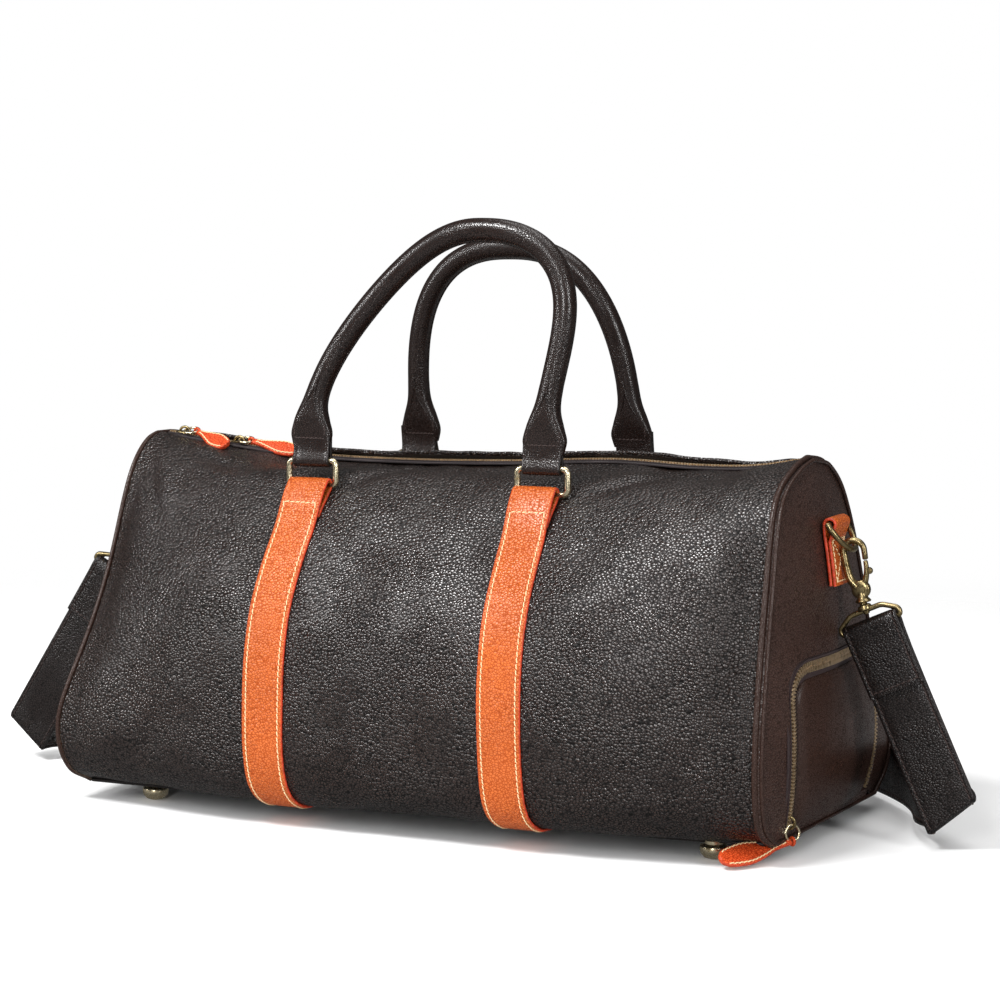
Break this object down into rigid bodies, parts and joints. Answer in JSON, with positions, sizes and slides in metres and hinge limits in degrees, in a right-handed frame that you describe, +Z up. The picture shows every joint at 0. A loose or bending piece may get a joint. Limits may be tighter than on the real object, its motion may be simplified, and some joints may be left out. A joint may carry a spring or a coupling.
{
  "type": "duffel bag",
  "caption": "Soft leather travel duffel with a two-slider top zip, rolled ring-mounted handles, a zipped shoe pocket in one end and a shoulder strap on swivel hooks.",
  "frame": {"origin": "on the floor under the middle of the bag's body, at the tip of the middle stud", "axes": "+X along the bag towards the shoe-pocket end, -Y the front, +Z up"},
  "size_m": [0.7309, 0.3293, 0.4036],
  "materials": {
    "brown_leather": "pebbled semi-gloss",
    "orange_leather": "pebbled satin, stitched",
    "brass": "brushed antique",
    "zip_tape": "woven matt",
    "cord": "braided",
    "board": "pressed board"
  },
  "bodies": {
    "root": {"base_panel": "brown_leather", "base_stiffener": "board", "left_end_panel": "brown_leather", "right_end_panel": "brown_leather", "left_piping": "brown_leather", "right_piping": "brown_leather", "shoe_zip_teeth_body": "brass", "left_end_tab": "orange_leather", "right_end_tab": "orange_leather", "foot_front_left": "brass", "foot_front_right": "brass", "foot_rear_left": "brass", "foot_rear_right": "brass", "foot_middle": "brass"},
    "front_wall": {"front_panel": "brown_leather", "front_zip_teeth": "brass", "front_zip_tape": "zip_tape", "front_strap_left": "orange_leather", "front_strap_right": "orange_leather"},
    "rear_wall": {"rear_panel": "brown_leather", "rear_zip_teeth": "brass", "rear_zip_tape": "zip_tape", "rear_strap_left": "orange_leather", "rear_strap_right": "orange_leather"},
    "front_rings": {"front_ring_left": "brass", "front_ring_right": "brass"},
    "front_handle": {"front_handle_cover": "brown_leather", "front_handle_core": "cord", "front_handle_loop_left": "brown_leather", "front_handle_loop_right": "brown_leather"},
    "rear_rings": {"rear_ring_left": "brass", "rear_ring_right": "brass"},
    "rear_handle": {"rear_handle_cover": "brown_leather", "rear_handle_core": "cord", "rear_handle_loop_left": "brown_leather", "rear_handle_loop_right": "brown_leather"},
    "left_slider": {"left_slider": "brass"},
    "left_pull_ring": {"left_pull_ring": "brass"},
    "left_pull_tab": {"left_pull_tab": "orange_leather"},
    "main_slider": {"main_slider": "brass"},
    "main_pull_ring": {"main_pull_ring": "brass"},
    "main_pull_tab": {"main_pull_tab": "orange_leather"},
    "shoe_slider": {"shoe_slider": "brass"},
    "shoe_pull_ring": {"shoe_pull_ring": "brass"},
    "shoe_pull_tab": {"shoe_pull_tab": "orange_leather"},
    "shoe_flap": {"shoe_flap": "brown_leather", "shoe_zip_teeth_flap": "brass"},
    "left_d_ring": {"left_d_ring": "brass"},
    "left_strap_end": {"left_swivel_frame": "brass", "left_strap_drop": "brown_leather"},
    "left_snap_hook": {"left_snap_hook": "brass"},
    "left_hook_gate": {"left_hook_gate": "brass"},
    "right_d_ring": {"right_d_ring": "brass"},
    "right_strap_end": {"right_swivel_frame": "brass", "right_strap_drop": "brown_leather"},
    "right_snap_hook": {"right_snap_hook": "brass"},
    "right_hook_gate": {"right_hook_gate": "brass"},
    "shoulder_strap": {"shoulder_strap_back": "brown_leather"},
    "strap_adjuster": {"strap_adjuster": "brass"}
  },
  "joints": [
    {"name": "front_wall_open", "type": "hinge", "parent": "root", "child": "front_wall", "pos_m": [0, -0.092, 0.0135], "axis": [1, 0, 0], "range_deg": [0, 9]},
    {"name": "rear_wall_open", "type": "hinge", "parent": "root", "child": "rear_wall", "pos_m": [0, 0.092, 0.0135], "axis": [1, 0, 0], "range_deg": [-9, 0]},
    {"name": "main_slider_run", "type": "slide", "parent": "root", "child": "main_slider", "axis": [1, 0, 0], "range_m": [0, 0.37]},
    {"name": "left_slider_run", "type": "slide", "parent": "root", "child": "left_slider", "axis": [0.9888, 0, -0.1492], "range_m": [-0.005, 0.002]},
    {"name": "left_pull_ring_flip", "type": "hinge", "parent": "left_slider", "child": "left_pull_ring", "pos_m": [-0.2262, 0, 0.25393], "axis": [0, 1, 0], "range_deg": [-90, 0]},
    {"name": "left_pull_tab_lift", "type": "hinge", "parent": "left_pull_ring", "child": "left_pull_tab", "pos_m": [-0.21592, 0, 0.25237], "axis": [0, 1, 0], "range_deg": [-60, 0]},
    {"name": "main_pull_ring_flip", "type": "hinge", "parent": "main_slider", "child": "main_pull_ring", "pos_m": [-0.181, 0, 0.2484], "axis": [0, 1, 0], "range_deg": [-90, 0]},
    {"name": "main_pull_tab_lift", "type": "hinge", "parent": "main_pull_ring", "child": "main_pull_tab", "pos_m": [-0.1706, 0, 0.2484], "axis": [0, 1, 0], "range_deg": [-60, 0]},
    {"name": "front_rings_tilt", "type": "hinge", "parent": "front_wall", "child": "front_rings", "pos_m": [0, -0.06521, 0.23149], "axis": [1, 0, 0], "range_deg": [-10, 20]},
    {"name": "front_handle_fold", "type": "hinge", "parent": "front_rings", "child": "front_handle", "pos_m": [0, -0.06521, 0.24799], "axis": [1, 0, 0], "range_deg": [-15, 100]},
    {"name": "rear_rings_tilt", "type": "hinge", "parent": "rear_wall", "child": "rear_rings", "pos_m": [0, 0.08666, 0.22472], "axis": [1, 0, 0], "range_deg": [-20, 10]},
    {"name": "rear_handle_fold", "type": "hinge", "parent": "rear_rings", "child": "rear_handle", "pos_m": [0, 0.08666, 0.24122], "axis": [1, 0, 0], "range_deg": [-100, 15]},
    {"name": "shoe_flap_open", "type": "hinge", "parent": "root", "child": "shoe_flap", "pos_m": [0.2472, 0, 0.0185], "axis": [0, 1, 0], "range_deg": [0, 60]},
    {"name": "shoe_slider_run", "type": "slide", "parent": "root", "child": "shoe_slider", "axis": [0.04, -0.147, 0.9883], "range_m": [0, 0.045]},
    {"name": "shoe_pull_ring_flip", "type": "hinge", "parent": "shoe_slider", "child": "shoe_pull_ring", "pos_m": [0.2512, -0.0764, 0.0267], "axis": [0, 0.9891, 0.1471], "range_deg": [-90, 0]},
    {"name": "shoe_pull_tab_swing", "type": "hinge", "parent": "shoe_pull_ring", "child": "shoe_pull_tab", "pos_m": [0.25175, -0.0803, 0.01928], "axis": [0.0761, 0.4421, -0.8937], "range_deg": [-6, 2]},
    {"name": "right_d_ring_tilt", "type": "hinge", "parent": "root", "child": "right_d_ring", "pos_m": [0.26069, 0, 0.207], "axis": [0, 1, 0], "range_deg": [-3, 3]},
    {"name": "left_d_ring_tilt", "type": "hinge", "parent": "root", "child": "left_d_ring", "pos_m": [-0.25816, 0, 0.207], "axis": [0, -1, 0], "range_deg": [-3, 3]},
    {"name": "shoulder_strap_swing", "type": "hinge", "parent": "root", "child": "shoulder_strap", "pos_m": [0, 0, 0.207], "axis": [1, 0, 0], "range_deg": [0, 25]},
    {"name": "right_strap_end_lift", "type": "hinge", "parent": "shoulder_strap", "child": "right_strap_end", "pos_m": [0.27448, 0, 0.19543], "axis": [0, 1, 0], "range_deg": [-48.1, 0]},
    {"name": "left_strap_end_lift", "type": "hinge", "parent": "shoulder_strap", "child": "left_strap_end", "pos_m": [-0.27195, 0, 0.19543], "axis": [0, -1, 0], "range_deg": [-25, 0]},
    {"name": "right_hook_swivel", "type": "hinge", "parent": "right_strap_end", "child": "right_snap_hook", "pos_m": [0.27448, 0, 0.19543], "axis": [-0.3584, 0, 0.9336], "range_deg": [-10, 10]},
    {"name": "right_gate_press", "type": "hinge", "parent": "right_snap_hook", "child": "right_hook_gate", "pos_m": [0.28696, 0, 0.17687], "axis": [0, 1, 0], "range_deg": [-20, 0]},
    {"name": "left_hook_swivel", "type": "hinge", "parent": "left_strap_end", "child": "left_snap_hook", "pos_m": [-0.27195, 0, 0.19543], "axis": [0.4848, 0, 0.8746], "range_deg": [-10, 10]},
    {"name": "left_gate_press", "type": "hinge", "parent": "left_snap_hook", "child": "left_hook_gate", "pos_m": [-0.28689, 0, 0.17879], "axis": [0, -1, 0], "range_deg": [-20, 0]},
    {"name": "adjuster_run", "type": "slide", "parent": "shoulder_strap", "child": "strap_adjuster", "axis": [1, 0, 0], "range_m": [-0.08, 0.08]}
  ],
  "couplings": [
    {"joint": "rear_wall_open", "follows": "front_wall_open", "ratio": -1},
    {"joint": "main_slider_run", "follows": "front_wall_open", "m_per_rad": 2.3554},
    {"joint": "right_strap_end_lift", "follows": "shoe_flap_open", "ratio": -0.8}
  ]
}
